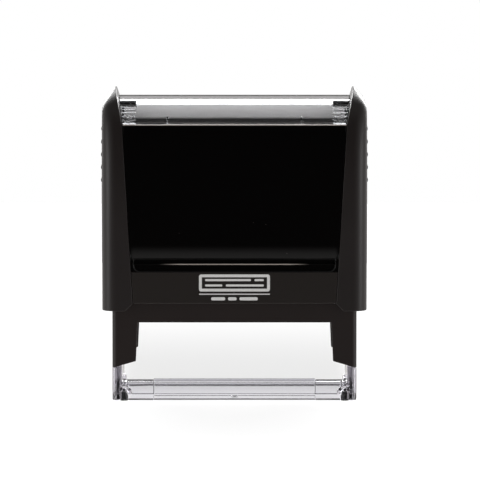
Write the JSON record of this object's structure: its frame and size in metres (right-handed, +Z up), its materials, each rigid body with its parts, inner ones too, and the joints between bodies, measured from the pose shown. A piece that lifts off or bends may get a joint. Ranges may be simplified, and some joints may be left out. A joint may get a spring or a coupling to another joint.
{
  "type": "self inking stamp",
  "caption": "Sprung self-inking text stamp: a cap presses a print die down from its ink pad while it turns over, onto the paper under a clear base.",
  "frame": {"origin": "centre of the footprint, on the plane where the rubber feet stand", "axes": "+X along the imprint's width, +Y towards the back where the ink cartridge comes out, +Z up along the cap's travel"},
  "size_m": [0.0748, 0.042, 0.087],
  "materials": {
    "clear_plastic": "polished clear styrene plastic",
    "foot_rubber": "matte",
    "housing_plastic": "fine spark-eroded grain",
    "inner_plastic": "plain moulded",
    "gloss_black_plastic": "high gloss moulded",
    "matte_black_plastic": "fine spark-eroded grain",
    "grip_elastomer": "soft matte",
    "pad_felt": "ink-soaked felt",
    "cushion_foam": "closed-cell foam",
    "die_rubber": "laser-engraved rubber",
    "spring_steel": "drawn wire",
    "card_paper": "coated card"
  },
  "bodies": {
    "stand": {"base": "clear_plastic", "foot_front_left": "foot_rubber", "foot_front_right": "foot_rubber", "foot_back_left": "foot_rubber", "foot_back_right": "foot_rubber", "housing": "housing_plastic", "main_spring": "spring_steel"},
    "cartridge": {"cartridge_tray": "inner_plastic", "ink_pad": "pad_felt"},
    "cap": {"bow": "inner_plastic", "cap_shell": "gloss_black_plastic", "cheek_left": "matte_black_plastic", "cheek_right": "matte_black_plastic", "grip_left": "grip_elastomer", "grip_right": "grip_elastomer", "index_card": "card_paper", "lock_spring_left": "spring_steel", "lock_spring_right": "spring_steel"},
    "die": {"die_carrier": "inner_plastic", "die_cushion": "cushion_foam", "rubber_die": "die_rubber"},
    "window": {"window": "clear_plastic"},
    "button_left": {"lock_button_left": "matte_black_plastic"},
    "button_right": {"lock_button_right": "matte_black_plastic"}
  },
  "joints": [
    {"name": "press", "type": "slide", "parent": "stand", "child": "cap", "axis": [0, 0, 1], "range_m": [-0.0216, 0], "stiffness_N_per_m": 350, "springref_m": 0.012, "deforming": ["main_spring", "ink_pad"]},
    {"name": "die_turn", "type": "hinge", "parent": "cap", "child": "die", "pos_m": [0, 0, 0.0262], "axis": [1, 0, 0], "range_deg": [0, 180]},
    {"name": "window_lift", "type": "slide", "parent": "cap", "child": "window", "axis": [0, 0, 1], "range_m": [0, 0.012]},
    {"name": "lock_left", "type": "slide", "parent": "cap", "child": "button_left", "axis": [1, 0, 0], "range_m": [0, 0.001], "stiffness_N_per_m": 800, "springref_m": -0.001, "deforming": ["lock_spring_left"]},
    {"name": "lock_right", "type": "slide", "parent": "cap", "child": "button_right", "axis": [-1, 0, 0], "range_m": [0, 0.001], "stiffness_N_per_m": 800, "springref_m": -0.001, "deforming": ["lock_spring_right"]},
    {"name": "cartridge_out", "type": "slide", "parent": "stand", "child": "cartridge", "axis": [0, 1, 0], "range_m": [0, 0.04]}
  ],
  "couplings": [
    {"joint": "die_turn", "follows": "press", "rad_per_m": -145.44}
  ]
}
